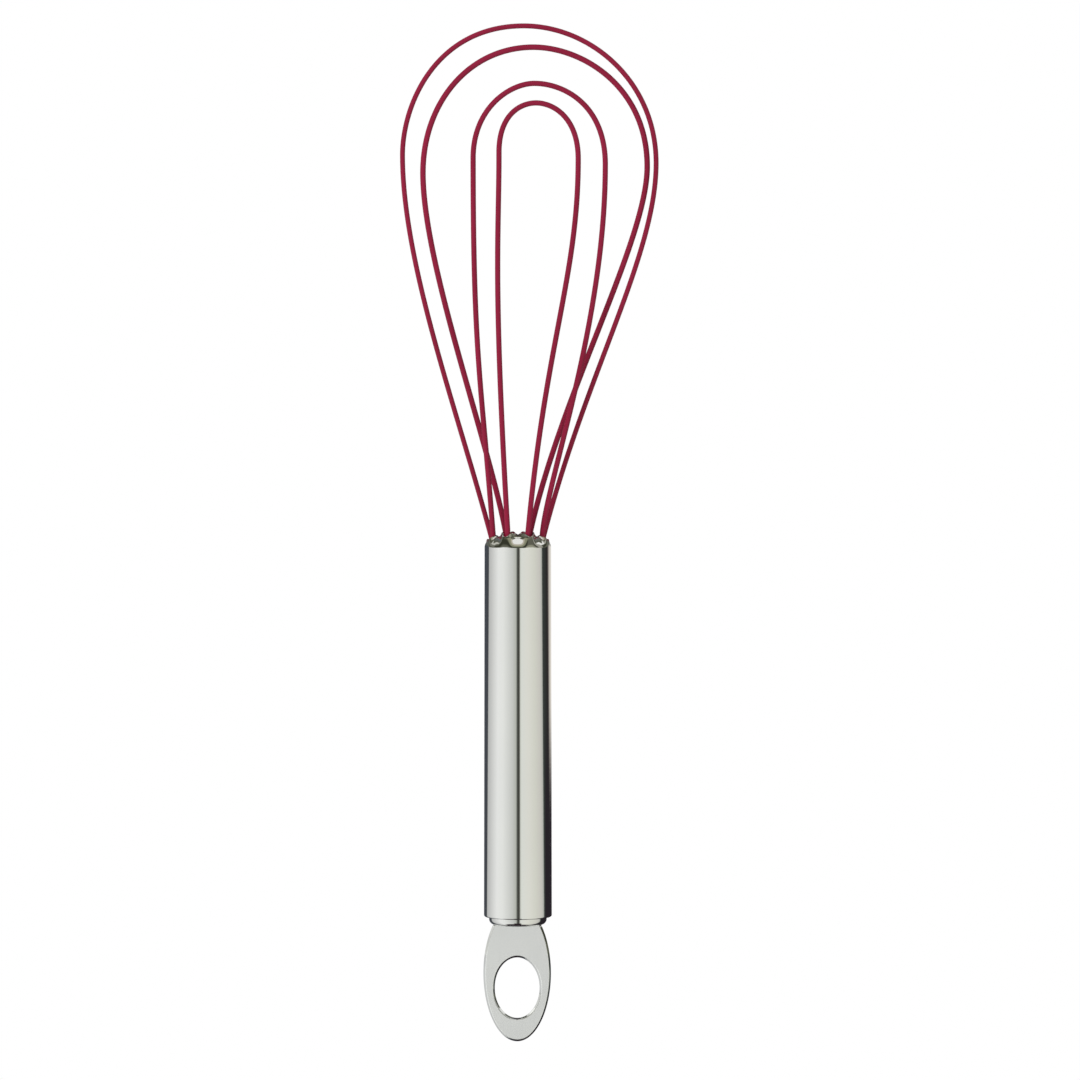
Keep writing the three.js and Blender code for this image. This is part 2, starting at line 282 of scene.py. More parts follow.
def make_consistent(mesh):
    """Turns every face outwards."""
    work = bmesh.new()
    work.from_mesh(mesh)
    bmesh.ops.recalc_face_normals(work, faces=work.faces)
    work.to_mesh(mesh)
    work.free()
    mesh.update()


def rounded(centre_r, centre_z, radius, start, end, steps):
    """Points of a round in a profile's plane, from angle start to end in degrees."""
    points = []
    for i in range(steps + 1):
        angle = math.radians(start + (end - start) * i / steps)
        points.append((centre_r + radius * math.cos(angle), centre_z + radius * math.sin(angle)))
    return points


def turned(profile, segments):
    """Rings of a profile of (radius, z) turned about the handle's axis, one ring for each of its points."""
    rings = []
    for radius, z in profile:
        angles = [2 * math.pi * i / segments for i in range(segments)]
        rings.append([(radius * math.cos(a), radius * math.sin(a), z) for a in angles])
    return rings


def box_mesh(name, low, high):
    mesh = bpy.data.meshes.new(name)
    work = bmesh.new()
    bmesh.ops.create_cube(work, size=1)
    for vertex in work.verts:
        for axis in range(3):
            vertex.co[axis] = low[axis] if vertex.co[axis] < 0 else high[axis]
    work.to_mesh(mesh)
    work.free()
    return mesh


def combined(mesh, tool_mesh, operation):
    """The mesh with another one cut from it or joined to it, as one closed body."""
    body = bpy.data.objects.new("boolean_body", mesh)
    tool = bpy.data.objects.new("boolean_tool", tool_mesh)
    for thing in (body, tool):
        bpy.context.scene.collection.objects.link(thing)
    modifier = body.modifiers.new("boolean", "BOOLEAN")
    modifier.operation = operation
    modifier.solver = "EXACT"
    modifier.object = tool
    bpy.context.view_layer.update()
    evaluated = body.evaluated_get(bpy.context.evaluated_depsgraph_get())
    result = bpy.data.meshes.new_from_object(evaluated)
    bpy.data.objects.remove(body)
    bpy.data.objects.remove(tool)
    return result


def sharpen(piece, degrees):
    """Keeps edges that turn by more than the angle sharp in the shading."""
    piece.data.set_sharp_from_angle(angle=math.radians(degrees))


# ---- Tube ---------------------------------------------------------------------------------------

def crimp_wave(angle):
    """1 at a wire, -1 at a dent, flattened at both. Angle is measured from the Y axis."""
    return math.sin(math.pi / 2 * math.cos(WIRE_COUNT * angle - math.pi))


def ear_wave(angle):
    """1 at wires and dents, -1 at the ears between them."""
    return math.cos(2 * WIRE_COUNT * angle)


def pinch(angle):
    middle = (PINCH_AT_DENT + PINCH_AT_WIRE) / 2
    swing = (PINCH_AT_DENT - PINCH_AT_WIRE) / 2
    return middle - swing * crimp_wave(angle)


def rim_height(angle):
    valleys = (RIM_AT_WIRE + RIM_AT_DENT) / 2
    middle = (valleys + RIM_AT_EAR) / 2
    ear_swing = (RIM_AT_EAR - valleys) / 2
    wire_swing = (RIM_AT_DENT - RIM_AT_WIRE) / 2
    drop = RIM_DROP * math.sin(angle) ** 4
    return middle - drop - ear_swing * ear_wave(angle) - wire_swing * crimp_wave(angle)


def press(height):
    """Share of the full pinch reached at a height above the shoulder."""
    share = min(height / PRESS_HEIGHT, 1)
    above = height / PRESS_HEIGHT - share
    eased = PRESS_START * share + (1 - PRESS_START) * share * share
    return eased * share * (1 + PRESS_FILLET) / (share + PRESS_FILLET) + PRESS_ABOVE * above


def tube_profile():
    """(radius, z, level) round the tube's wall. Level runs from 0 at the shoulder to 1 at the rim."""
    mouth = TUBE_RADIUS - TUBE_NARROWING
    bottom = TUBE_LOW.z
    profile = [(LIP_RADIUS, bottom + LIP_CHAMFER, 0), (LIP_RADIUS + LIP_CHAMFER, bottom, 0)]
    edge = rounded(TUBE_RADIUS - TUBE_EDGE, bottom + TUBE_EDGE, TUBE_EDGE, -90, 0, EDGE_STEPS)
    for radius, z in edge:
        profile.append((radius, z, 0))
    for share in (0.0005, 0.1, 0.3, 0.5, 0.7, 0.9, 0.9995):
        radius = TUBE_RADIUS - TUBE_NARROWING * share
        profile.append((radius, bottom + TUBE_EDGE + share * (SHOULDER_Z - bottom - TUBE_EDGE), 0))
    levels = [(i / CRIMP_LEVELS) ** 1.5 for i in range(CRIMP_LEVELS + 1)]
    for level in levels:
        profile.append((mouth, SHOULDER_Z, level))
    for share in (0.3, 0.7):
        profile.append((mouth - share * RIM_WALL, SHOULDER_Z, RIM_CROWN_LEVEL))
    for level in reversed(levels):
        wall = TUBE_WALL + (RIM_WALL - TUBE_WALL) * level
        profile.append((mouth - wall, SHOULDER_Z, level))
    profile.append((mouth - TUBE_WALL, THINNING_Z, 0))
    slope_top = bottom + LIP_HEIGHT + TUBE_RADIUS - TUBE_WALL - LIP_RADIUS
    profile.append((TUBE_RADIUS - TUBE_WALL, slope_top, 0))
    profile.append((LIP_RADIUS, bottom + LIP_HEIGHT, 0))
    return profile


def tube_point(radius, z, level, angle):
    """A profile point turned to an angle, with the crimp pressed in."""
    height = rim_height(angle) * level
    pressed = radius - pinch(angle) * press(height)
    return (pressed * math.sin(angle), pressed * math.cos(angle), z + height)


def build_tube(material):
    rings = []
    for radius, z, level in tube_profile():
        ring = []
        for i in range(TUBE_SEGMENTS):
            angle = 2 * math.pi * i / TUBE_SEGMENTS
            ring.append(tube_point(radius, z, level, angle))
        rings.append(ring)
    mesh = ring_mesh("tube_skin", rings)
    piece = new_piece("tube_skin", mesh, material, "tube_steel", "handle_tube")
    sharpen(piece, STEEL_SHARP)


# ---- Wires --------------------------------------------------------------------------------------

def half_loop(loop, side, end_z):
    """Cubic curves, as (four points, steps), from the wire's end in the handle up to the crown."""
    top_x, top_z = (value * MM for value in loop["top"])
    foot_x = side["foot"] * MM
    outwards = math.copysign(1, foot_x)
    ring_angle = math.radians(loop["ring"])
    foot_y = loop["plane"] * MOUTH_RING * math.cos(ring_angle)
    crown_y = loop["plane"] * CROWN_PLANE

    def at(x, z):
        share = (z - MOUTH_Z) / (top_z - MOUTH_Z)
        return Vector((x, foot_y + (crown_y - foot_y) * share, z))

    lean = math.radians(side["lean"])
    pull = side["foot_pull"] * MM
    foot = at(foot_x, MOUTH_Z)
    leg = at(foot_x + outwards * pull * math.sin(lean), MOUTH_Z + pull * math.cos(lean))
    side_x, side_z = side["x"] * MM, side["z"] * MM
    widest = at(side_x, side_z)
    below = at(side_x, side_z - side["side_pull"] * MM)
    above = at(side_x, side_z + side["rise"] * (top_z - side_z))
    crown = at(top_x, top_z)
    crown_end = at(top_x + side["run"] * (side_x - top_x), top_z)
    ring_x = outwards * GUIDE_RING * math.sin(ring_angle)
    ring_y = loop["plane"] * GUIDE_RING * math.cos(ring_angle)
    end = Vector((ring_x, ring_y, end_z))
    bend = Vector((ring_x, ring_y, BEND_Z))
    bend_out = bend + Vector((0, 0, BEND_PULL))
    bend_in = foot - (leg - foot).normalized() * BEND_PULL
    return [
        ((end, end.lerp(bend, 1 / 3), end.lerp(bend, 2 / 3), bend), STRAIGHT_STEPS),
        ((bend, bend_out, bend_in, foot), BEND_STEPS),
        ((foot, leg, below, widest), CURVE_STEPS),
        ((widest, above, crown_end, crown), CURVE_STEPS),
    ]


def walk(curves):
    """Points along cubic curves joined end to end."""
    points = [curves[0][0][0]]
    for (a, b, c, d), steps in curves:
        for i in range(1, steps + 1):
            t = i / steps
            s = 1 - t
            points.append(a * s ** 3 + b * 3 * s * s * t + c * 3 * s * t * t + d * t ** 3)
    return points


def loop_line(loop, end_z):
    """The loop's centre line from one wire end to the other."""
    up = walk(half_loop(loop, loop["left"], end_z))
    down = walk(half_loop(loop, loop["right"], end_z))
    return up + down[-2::-1]


def swept(line, radius, sides):
    """Rings of a round section carried along a line without twist."""
    rings = []
    across = Vector((0, 1, 0))
    for i, point in enumerate(line):
        ahead = line[min(i + 1, len(line) - 1)] - line[max(i - 1, 0)]
        ahead.normalize()
        across = (across - ahead * across.dot(ahead)).normalized()
        other = ahead.cross(across)
        angles = [2 * math.pi * k / sides for k in range(sides)]
        rings.append([point + (across * math.cos(a) + other * math.sin(a)) * radius for a in angles])
    return rings


def build_wire(loop, sleeve_material, core_material):
    name = loop["name"]
    sleeve_line = loop_line(loop, SLEEVE_END_Z)
    outside = swept(sleeve_line, loop["radius"] * MM, SLEEVE_SIDES)
    bore = swept(sleeve_line, SLEEVE_BORE, SLEEVE_SIDES)
    sleeve = ring_mesh(name + "_silicone", outside + bore[::-1])
    piece = new_piece(name + "_silicone", sleeve, sleeve_material, "silicone", name + "_sleeve")
    sharpen(piece, WIRE_SHARP)
    core_line = loop_line(loop, CORE_END_Z)
    core = ring_mesh(name + "_spring", swept(core_line, CORE_RADIUS, CORE_SIDES), closed=False)
    piece = new_piece(name + "_spring", core, core_material, "spring_steel", name + "_core")
    sharpen(piece, WIRE_SHARP)


# ---- End cap and hanger plate -------------------------------------------------------------------

def build_cap(material):
    edge_centre = CAP_BOSS_RADIUS - CAP_EDGE
    skirt = CAP_FLANGE_RADIUS - CAP_SKIRT
    profile = [(CAP_MIDDLE_RADIUS, CAP_LOW.z), (CAP_FLAT_RADIUS, CAP_LOW.z)]
    profile += rounded(edge_centre, CAP_LOW.z + CAP_EDGE, CAP_EDGE, -90, 0, EDGE_STEPS)
    profile += [
        (CAP_BOSS_RADIUS, CAP_LOW.z + CAP_EDGE + SUPPORT),
        (CAP_BOSS_RADIUS, CAP_FLANGE_Z),
        (CAP_FLANGE_RADIUS, CAP_FLANGE_Z),
        (CAP_FLANGE_RADIUS, CAP_HIGH.z),
        (skirt, CAP_HIGH.z),
        (skirt, CAP_FLOOR_Z),
        (CAP_MIDDLE_RADIUS, CAP_FLOOR_Z),
    ]
    cup = ring_mesh("cap_skin", turned(profile, CAP_SEGMENTS), closed=False)
    half_slot = TANG_HALF_WIDTH + TANG_CLEARANCE
    half_gap = TANG_HALF_THICKNESS + TANG_CLEARANCE
    slot = box_mesh("slot", (-half_slot, -half_gap, 0), (half_slot, half_gap, 2 * CAP_HIGH.z))
    piece = new_piece("cap_skin", combined(cup, slot, "DIFFERENCE"), material, "tube_steel", "end_cap")
    sharpen(piece, CAP_SHARP)


def plate_reach(angle, inset):
    """Distance from the hole's centre to the plate's outline, moved in by inset, at an angle from +X."""
    half_width = PLATE_HALF_WIDTH - inset
    half_length = PLATE_HALF_LENGTH - inset
    dx, dz = math.cos(angle), math.sin(angle)
    down = HOLE_CENTRE_Z - PLATE_CENTRE_Z
    a = (dx / half_width) ** 2 + (dz / half_length) ** 2
    b = 2 * down * dz / half_length ** 2
    c = (down / half_length) ** 2 - 1
    oval = (-b + math.sqrt(b * b - 4 * a * c)) / (2 * a)
    if dz <= 0:
        return oval
    top_z = PLATE_TOP_Z - TOP_EDGE_SHARE * inset
    return min(oval, (top_z - HOLE_CENTRE_Z) / dz)


def hole_reach(angle, growth):
    """Distance from the hole's centre to its edge, moved out by growth, at an angle from +X."""
    half_width = HOLE_HALF_WIDTH + growth
    half_length = HOLE_HALF_LENGTH + growth
    return 1 / math.hypot(math.cos(angle) / half_width, math.sin(angle) / half_length)


def plate_ring(reach, inset, y):
    ring = []
    for i in range(PLATE_SEGMENTS):
        angle = 2 * math.pi * i / PLATE_SEGMENTS
        r = reach(angle, inset)
        ring.append((PLATE_CENTRE_X + r * math.cos(angle), y, HOLE_CENTRE_Z + r * math.sin(angle)))
    return ring


def edge_profile():
    """(inset, depth behind the face) from the flat of the face over the edge to the side."""
    lean = math.radians(CHAMFER_ANGLE)
    points = [(-SUPPORT, 0)]
    for i in range(ROUND_STEPS + 1):
        angle = lean * i / ROUND_STEPS
        points.append((FACE_ROUND * math.sin(angle), FACE_ROUND * (1 - math.cos(angle))))
    across = points[-1][0] + CHAMFER * math.cos(lean) - SIDE_ROUND * math.sin(lean)
    depth = points[-1][1] + CHAMFER * math.sin(lean) + SIDE_ROUND * math.cos(lean)
    for i in range(ROUND_STEPS + 1):
        angle = lean + (math.pi / 2 - lean) * i / ROUND_STEPS
        points.append((across + SIDE_ROUND * math.sin(angle), depth - SIDE_ROUND * math.cos(angle)))
    width = points[-1][0]
    return [(width - across, depth) for across, depth in points]


def edge_rings(reach):
    """Rings over an edge from the front face to the back face."""
    profile = edge_profile()
    rings = [plate_ring(reach, inset, depth - PLATE_HALF_THICKNESS) for inset, depth in profile]
    back = [[(x, -y, z) for x, y, z in ring] for ring in reversed(rings)]
    return rings + back


def build_plate(material):
    outside = edge_rings(plate_reach)
    inside = edge_rings(hole_reach)
    plate = ring_mesh("plate_skin", outside + inside[::-1])
    tang_low = (-TANG_HALF_WIDTH, -TANG_HALF_THICKNESS, TANG_BOTTOM_Z)
    tang_high = (TANG_HALF_WIDTH, TANG_HALF_THICKNESS, TANG_TOP_Z)
    plate = combined(plate, box_mesh("tang", tang_low, tang_high), "UNION")
    drill_profile = [(PIN_HOLE_RADIUS, -PIN_HOLE_HALF_LENGTH), (PIN_HOLE_RADIUS, PIN_HOLE_HALF_LENGTH)]
    drill = ring_mesh("drill", turned(drill_profile, PIN_HOLE_SEGMENTS), closed=False)
    for vertex in drill.vertices:
        x, y, z = vertex.co
        vertex.co = (x, z, PIN_Z + y)
    make_consistent(drill)
    plate = combined(plate, drill, "DIFFERENCE")
    piece = new_piece("plate_skin", plate, material, "satin_steel", "hanger_plate")
    sharpen(piece, STEEL_SHARP)
    return piece


# ---- Materials ----------------------------------------------------------------------------------

class Shading:
    """A material with one Principled shader, and short ways to add nodes to it."""

    def __init__(self, name):
        self.material = bpy.data.materials.new(name)
        self.material.use_nodes = True
        self.tree = self.material.node_tree
        self.shader = self.tree.nodes["Principled BSDF"]
        self.place = self.tree.nodes.new("ShaderNodeTexCoord").outputs["Object"]

    def set(self, socket, value):
        self.shader.inputs[socket].default_value = value

    def noise(self, stretch, detail=3.0, roughness=0.5):
        """Noise whose grains per metre along x, y and z are given by stretch."""
        mapping = self.tree.nodes.new("ShaderNodeMapping")
        mapping.inputs["Scale"].default_value = stretch
        self.tree.links.new(self.place, mapping.inputs["Vector"])
        noise = self.tree.nodes.new("ShaderNodeTexNoise")
        noise.inputs["Scale"].default_value = 1
        noise.inputs["Detail"].default_value = detail
        noise.inputs["Roughness"].default_value = roughness
        self.tree.links.new(mapping.outputs[0], noise.inputs["Vector"])
        return noise.outputs["Fac"]

    def spread(self, value, low, high):
        """The middle of the noise's range stretched to run from low to high."""
        node = self.tree.nodes.new("ShaderNodeMapRange")
        node.inputs["From Min"].default_value = 0.3
        node.inputs["From Max"].default_value = 0.7
        node.inputs["To Min"].default_value = low
        node.inputs["To Max"].default_value = high
        self.tree.links.new(value, node.inputs["Value"])
        return node.outputs["Result"]

    def blend(self, value, colours):
        """A colour that runs through the given ones as value goes from 0.3 to 0.7."""
        ramp = self.tree.nodes.new("ShaderNodeValToRGB")
        ramp.color_ramp.elements[0].position = 0.3
        ramp.color_ramp.elements[0].color = (*colours[0], 1)
        ramp.color_ramp.elements[1].position = 0.7
        ramp.color_ramp.elements[1].color = (*colours[-1], 1)
        self.tree.links.new(value, ramp.inputs["Fac"])
        return ramp.outputs["Color"]

    def faces_y(self):
        """1 where the surface faces front or back within 4 degrees, 0 where it is more than 18 off."""
        geometry = self.tree.nodes.new("ShaderNodeNewGeometry")
        split = self.tree.nodes.new("ShaderNodeSeparateXYZ")
        size = self.tree.nodes.new("ShaderNodeMath")
        size.operation = "ABSOLUTE"
        step = self.tree.nodes.new("ShaderNodeMapRange")
        step.inputs["From Min"].default_value = math.cos(math.radians(18))
        step.inputs["From Max"].default_value = math.cos(math.radians(4))
        self.tree.links.new(geometry.outputs["Normal"], split.inputs[0])
        self.tree.links.new(split.outputs["Y"], size.inputs[0])
        self.tree.links.new(size.outputs[0], step.inputs["Value"])
        return step.outputs["Result"]

    def between(self, share, low, high):
        """Low where share is 0, high where it is 1."""
        mix = self.tree.nodes.new("ShaderNodeMix")
        mix.inputs["A"].default_value = low
        self.tree.links.new(share, mix.inputs["Factor"])
        self.tree.links.new(high, mix.inputs["B"])
        return mix.outputs["Result"]

    def join(self, output, socket):
        self.tree.links.new(output, self.shader.inputs[socket])

    def bump(self, heights):
        """Bumps from (value, depth in metres) pairs, one over the other."""
        normal = None
        for value, depth in heights:
            node = self.tree.nodes.new("ShaderNodeBump")
            node.inputs["Strength"].default_value = 1
            node.inputs["Distance"].default_value = depth
            self.tree.links.new(value, node.inputs["Height"])
            if normal:
                self.tree.links.new(normal, node.inputs["Normal"])
            normal = node.outputs["Normal"]
        self.join(normal, "Normal")


def silicone_material():
    """Crimson silicone: satin, with a faintly uneven colour and a fine moulded skin."""
    look = Shading("crimson_silicone")
    cloud = look.noise((90, 90, 45), 4)
    look.join(look.blend(cloud, [(0.197, 0.0065, 0.0285), (0.234, 0.009, 0.0362)]), "Base Color")
    grain = look.noise((2600, 2600, 2600), 2)
    look.join(look.spread(grain, 0.5, 0.64), "Roughness")
    look.set("Specular IOR Level", 0.16)
    look.set("Sheen Weight", 0.05)
    look.bump([(grain, 0.006 * MM), (cloud, 0.05 * MM)])
    return look.material


def polished_steel_material():
    """Tube steel: polished, with very fine lines round it, faint smears and a few wider lines."""
    look = Shading("polished_tube_steel")
    lines = look.noise((25, 25, 9000), 2)
    wide_lines = look.noise((12, 12, 700), 3)
    smear = look.noise((55, 55, 30), 4)
    look.join(look.blend(smear, [(0.79, 0.79, 0.78), (0.815, 0.815, 0.8)]), "Base Color")
    look.set("Metallic", 1)
    look.join(look.spread(smear, 0.035, 0.075), "Roughness")
    look.bump([(lines, 0.00025 * MM), (wide_lines, 0.002 * MM)])
    return look.material


def satin_steel_material():
    """Plate steel: faces satin, brushed along the handle and a little cloudy, with polished edges."""
    look = Shading("satin_plate_steel")
    brushing = look.noise((5200, 900, 70), 3)
    cloud = look.noise((130, 130, 90), 4)
    look.join(look.blend(cloud, [(0.77, 0.78, 0.775), (0.795, 0.802, 0.795)]), "Base Color")
    look.set("Metallic", 1)
    satin = look.spread(brushing, 0.2, 0.25)
    look.join(look.between(look.faces_y(), 0.09, satin), "Roughness")
    look.bump([(brushing, 0.0004 * MM), (cloud, 0.004 * MM)])
    return look.material


def spring_steel_material():
    """Drawn wire: a little darker, with short drawing marks."""
    look = Shading("drawn_spring_steel")
    marks = look.noise((3500, 3500, 400), 3)
    look.join(look.blend(marks, [(0.5, 0.51, 0.52), (0.64, 0.65, 0.66)]), "Base Color")
    look.set("Metallic", 1)
    look.join(look.spread(marks, 0.26, 0.4), "Roughness")
    look.bump([(marks, 0.003 * MM)])
    return look.material


def nylon_material():
    """Moulded dark grey nylon with a fine pebbled skin."""
    look = Shading("moulded_nylon")
    pebbles = look.noise((2200, 2200, 2200), 4)
    look.join(look.blend(pebbles, [(0.042, 0.043, 0.041), (0.06, 0.061, 0.057)]), "Base Color")
    look.join(look.spread(pebbles, 0.45, 0.65), "Roughness")
    look.bump([(pebbles, 0.02 * MM)])
    return look.material


def resin_material():
    """Set amber resin: glossy, with cloudy streaks from mixing and a slightly wavy top."""
    look = Shading("amber_resin")
    streaks = look.noise((160, 160, 420), 5, 0.6)
    look.join(look.blend(streaks, [(0.36, 0.2, 0.06), (0.62, 0.46, 0.22)]), "Base Color")
    look.join(look.spread(streaks, 0.14, 0.3), "Roughness")
    look.set("Subsurface Weight", 0.2)
    look.set("Subsurface Radius", (1.2 * MM, 0.7 * MM, 0.3 * MM))
    look.bump([(streaks, 0.08 * MM)])
    return look.material


# ---- Studio -------------------------------------------------------------------------------------

# What the steel sees at eye level, as (azimuth in degrees, colour): 0 is towards the camera, 90 is +X.
HORIZON = [
    (-180, (0.07, 0.082, 0.105)),
    (-121, (0.065, 0.07, 0.08)),
    (-117.5, (0.56, 0.57, 0.56)),
    (-104, (0.65, 0.655, 0.65)),
    (-90, (0.77, 0.78, 0.77)),
    (-70, (0.95, 0.96, 0.95)),
    (-50, (0.93, 0.945, 0.92)),
    (-17, (0.68, 0.695, 0.67)),
    (-6, (0.54, 0.56, 0.51)),
    (-2, (0.09, 0.095, 0.085)),
    (5, (0.05, 0.05, 0.04)),
    (9, (0.78, 0.8, 0.74)),
    (14, (0.84, 0.86, 0.81)),
    (35, (0.85, 0.85, 0.785)),
    (58, (0.77, 0.78, 0.7)),
    (80, (0.69, 0.675, 0.63)),
    (89.5, (0.56, 0.57, 0.53)),
    (94, (0.045, 0.055, 0.05)),
    (125, (0.025, 0.02, 0.022)),
    (140, (0.72, 0.66, 0.6)),
    (152, (0.8, 0.76, 0.7)),
    (180, (0.9, 0.89, 0.87)),
]

# The bands stand this much further round at the foot of the handle than at its mouth.
BAND_SPREAD = 1.1
MOUTH_ELEVATION = -2.0
FOOT_ELEVATION = -6.4

# Panels painted over the horizon in this order: azimuth from and to, elevation from and to, how soft
# their edges are, and colour. None leaves that side open. All angles are in degrees.
PANELS = [
    ("dark behind, low right", 108, 185, -78, -4.4, 1.6, (0.025, 0.02, 0.026)),
    ("foot of the walls", None, None, 0.8, None, 2, (0.13, 0.135, 0.1)),
    ("foot of the wall, right", 28, 70, 0.8, None, 2, (0.33, 0.33, 0.25)),
    ("dark walls", None, None, 7, None, 5, (0.042, 0.045, 0.03)),
    ("grey wall, right", 28, 70, 7, None, 5, (0.13, 0.13, 0.1)),
    ("olive walls", -64, 64, 20, None, 9, (0.29, 0.295, 0.2)),
    ("dim walls, left and behind", -185, -64, 20, None, 9, (0.1, 0.105, 0.075)),
    ("dim walls, right and behind", 64, 185, 20, None, 9, (0.1, 0.105, 0.075)),
    ("beige top of the walls", -64, 64, 37, None, 9, (0.55, 0.51, 0.42)),
    ("ceiling light", -64, 64, 51, None, 5, (0.93, 0.93, 0.91)),
    ("lit wall, left", -112, -92, 10, 50, 7, (0.2, 0.205, 0.17)),
    ("lit ceiling, left", -109, -97, 26, 44, 4, (0.6, 0.6, 0.54)),
    ("lit wall, right", 78, 98, 4, 52, 4, (0.4, 0.39, 0.34)),
    ("lit ceiling, right", 95, 109, 26, 45, 4, (0.95, 0.95, 0.92)),
    ("grey wall, upper left", -185, -121, 2, 62, 8, (0.14, 0.15, 0.15)),
    ("grey wall, upper right", 121, 185, 2, 62, 8, (0.16, 0.16, 0.145)),
    ("foot of the dark strip", -18, 16, None, -38, 6, (0.03, 0.025, 0.026)),
    ("dark floor, left of the middle", -80, 22, None, -54, 6, (0.03, 0.022, 0.026)),
    ("dark floor", None, None, None, -66, 6, (0.03, 0.022, 0.026)),
]

# What matt surfaces and the camera see all round.
ROOM_LIGHT = (0.80, 0.80, 0.81)
WHITE = (1, 1, 1)


class Sky:
    """Node helpers for the world: values, soft steps and panels over the sphere of directions."""

    def __init__(self, tree):
        self.tree = tree
        place = tree.nodes.new("ShaderNodeTexCoord")
        split = tree.nodes.new("ShaderNodeSeparateXYZ")
        tree.links.new(place.outputs["Generated"], split.inputs[0])
        towards_camera = self.math("MULTIPLY", split.outputs["Y"], -1)
        turn = self.math("ARCTAN2", split.outputs["X"], towards_camera)
        rise = self.math("ARCSINE", split.outputs["Z"])
        self.azimuth = self.math("MULTIPLY", turn, math.degrees(1))
        self.elevation = self.math("MULTIPLY", rise, math.degrees(1))

    def math(self, operation, first, second=None):
        node = self.tree.nodes.new("ShaderNodeMath")
        node.operation = operation
        for socket, value in zip(node.inputs, (first, second)):
            if isinstance(value, (int, float)):
                socket.default_value = value
            elif value is not None:
                self.tree.links.new(value, socket)
        return node.outputs[0]

    def ranged(self, value, start, end, low, high, shape="LINEAR"):
        """Low up to start, high from end on, and a straight or smooth run between them."""
        node = self.tree.nodes.new("ShaderNodeMapRange")
        node.interpolation_type = shape
        node.inputs["From Min"].default_value = start
        node.inputs["From Max"].default_value = end
        node.inputs["To Min"].default_value = low
        node.inputs["To Max"].default_value = high
        self.tree.links.new(value, node.inputs["Value"])
        return node.outputs["Result"]

    def masks(self, value, start, end, soft):
        """Soft steps that are 1 from start to end and 0 outside."""
        steps = []
        if start is not None:
            steps.append(self.ranged(value, start - soft / 2, start + soft / 2, 0, 1, "SMOOTHSTEP"))
        if end is not None:
            steps.append(self.ranged(value, end - soft / 2, end + soft / 2, 1, 0, "SMOOTHSTEP"))
        return steps

    def panel(self, under, azimuth, elevation, soft, colour):
        """The colour under, painted over inside a soft-edged patch of the sphere."""
        steps = self.masks(self.azimuth, *azimuth, soft) + self.masks(self.elevation, *elevation, soft)
        mask = steps[0]
        for step in steps[1:]:
            mask = self.math("MULTIPLY", mask, step)
        mix = self.tree.nodes.new("ShaderNodeMix")
        mix.data_type = "RGBA"
        self.tree.links.new(mask, mix.inputs["Factor"])
        self.tree.links.new(under, mix.inputs["A"])
        mix.inputs["B"].default_value = (*colour, 1)
        return mix.outputs["Result"]

    def horizon(self):
        """The colours at eye level, their places spread a little towards the foot of the handle."""
        spread = self.ranged(self.elevation, FOOT_ELEVATION, MOUTH_ELEVATION, 1 / BAND_SPREAD, 1)
        place = self.math("MULTIPLY", self.azimuth, spread)
        share = self.ranged(place, -180, 180, 0, 1)
        ramp = self.tree.nodes.new("ShaderNodeValToRGB")
        elements = ramp.color_ramp.elements
        elements.remove(elements[1])
        elements[0].position = 0
        elements[0].color = (*HORIZON[0][1], 1)
        for degrees, colour in HORIZON[1:]:
            elements.new((degrees + 180) / 360).color = (*colour, 1)
        self.tree.links.new(share, ramp.inputs["Fac"])
        return ramp.outputs["Color"]


def choose(tree, condition, otherwise, value):
    """One colour where a kind of ray asks, another one for the rest."""
    mix = tree.nodes.new("ShaderNodeMix")
    mix.data_type = "RGBA"
    tree.links.new(condition, mix.inputs["Factor"])
    tree.links.new(otherwise, mix.inputs["A"])
    if isinstance(value, tuple):
        mix.inputs["B"].default_value = (*value, 1)
    else:
        tree.links.new(value, mix.inputs["B"])
    return mix.outputs["Result"]


def build_world():
    """White to the camera, even soft light to matt surfaces, and a studio of panels to the steel."""
    world = bpy.data.worlds.new("studio")
    bpy.context.scene.world = world
    world.use_nodes = True
    tree = world.node_tree
    sky = Sky(tree)
    colour = sky.horizon()
    for name, *angles, soft, paint in PANELS:
        colour = sky.panel(colour, angles[:2], angles[2:], soft, paint)
    rays = tree.nodes.new("ShaderNodeLightPath")
    colour = choose(tree, rays.outputs["Is Diffuse Ray"], colour, ROOM_LIGHT)
    colour = choose(tree, rays.outputs["Is Camera Ray"], colour, WHITE)
    tree.links.new(colour, tree.nodes["Background"].inputs["Color"])


def build_light(name, place, target, width, height, power):
    """A soft lamp that shines at a target."""
    data = bpy.data.lights.new(name, "AREA")
    data.shape = "RECTANGLE"
    data.size = width
    data.size_y = height
    data.energy = power
    lamp = bpy.data.objects.new(name, data)
    bpy.context.scene.collection.objects.link(lamp)
    lamp.location = place
    lamp.rotation_euler = (Vector(target) - Vector(place)).to_track_quat("-Z", "Y").to_euler()
    return lamp


def build_lights(plate):
    """A key lamp for the silicone, and cards that light only the hanger plate."""
    key = build_light("key_lamp", KEY_PLACE, KEY_TARGET, KEY_WIDTH, KEY_WIDTH, KEY_POWER)
    key.visible_glossy = False
    lit = bpy.data.collections.new("lit_by_cards")
    lit.objects.link(plate)
    for name, place, target, width, height, brightness in CARDS:
        power = brightness * math.pi * width * height
        card = build_light(name, place, target, width, height, power)
        card.visible_camera = False
        card.light_linking.receiver_collection = lit


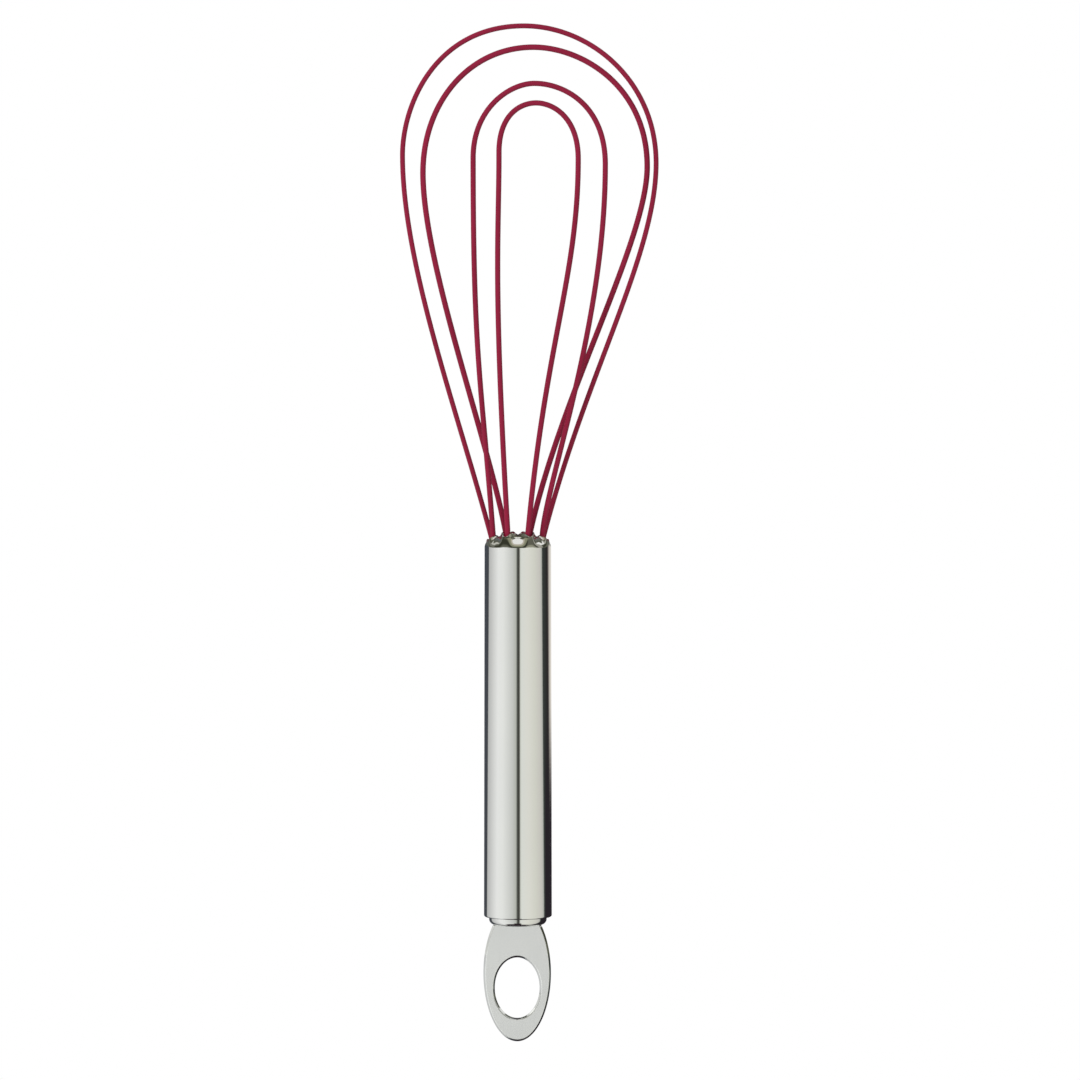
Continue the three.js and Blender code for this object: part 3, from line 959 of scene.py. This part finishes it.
def floor_material():
    """Pale and plain: white to the camera, and what the world shows there to everything else."""
    material = bpy.data.materials.new("pale_floor")
    material.use_nodes = True
    tree = material.node_tree
    tree.nodes.clear()
    glow = tree.nodes.new("ShaderNodeEmission")
    clear = tree.nodes.new("ShaderNodeBsdfTransparent")
    rays = tree.nodes.new("ShaderNodeLightPath")
    mix = tree.nodes.new("ShaderNodeMixShader")
    out = tree.nodes.new("ShaderNodeOutputMaterial")
    tree.links.new(rays.outputs["Is Camera Ray"], mix.inputs[0])
    tree.links.new(clear.outputs[0], mix.inputs[1])
    tree.links.new(glow.outputs[0], mix.inputs[2])
    tree.links.new(mix.outputs[0], out.inputs["Surface"])
    return material


def build_floor():
    """A wide disc below the whisk, which hangs clear of it."""
    mesh = bpy.data.meshes.new("floor")
    work = bmesh.new()
    bmesh.ops.create_circle(work, cap_ends=True, radius=FLOOR_RADIUS, segments=FLOOR_SEGMENTS)
    work.to_mesh(mesh)
    work.free()
    mesh.materials.append(floor_material())
    floor = bpy.data.objects.new("floor", mesh)
    bpy.context.scene.collection.objects.link(floor)
    floor.location.z = WHISK_LOW.z - FLOOR_DROP


def build_camera():
    data = bpy.data.cameras.new("camera")
    data.sensor_width = SENSOR
    aim = FRAME_CENTRE - CAMERA_PLACE
    data.lens = SENSOR * aim.length / FRAME_WIDTH
    camera = bpy.data.objects.new("camera", data)
    bpy.context.scene.collection.objects.link(camera)
    camera.location = CAMERA_PLACE
    camera.rotation_euler = aim.to_track_quat("-Z", "Y").to_euler()
    bpy.context.scene.camera = camera


# ---- Assembly -----------------------------------------------------------------------------------

bpy.context.scene.view_settings.view_transform = "Standard"
polished_steel = polished_steel_material()
satin_steel = satin_steel_material()
spring_steel = spring_steel_material()
silicone = silicone_material()

build_tube(polished_steel)
build_cap(polished_steel)
hanger = build_plate(satin_steel)
for loop in LOOPS:
    build_wire(loop, silicone, spring_steel)

carried_over = {
    "wire_guide": nylon_material(),
    "potting_resin": resin_material(),
    "hanger_pin": spring_steel,
}
for name, material in carried_over.items():
    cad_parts[name].data.materials.clear()
    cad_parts[name].data.materials.append(material)

build_world()
build_lights(hanger)
build_floor()
build_camera()
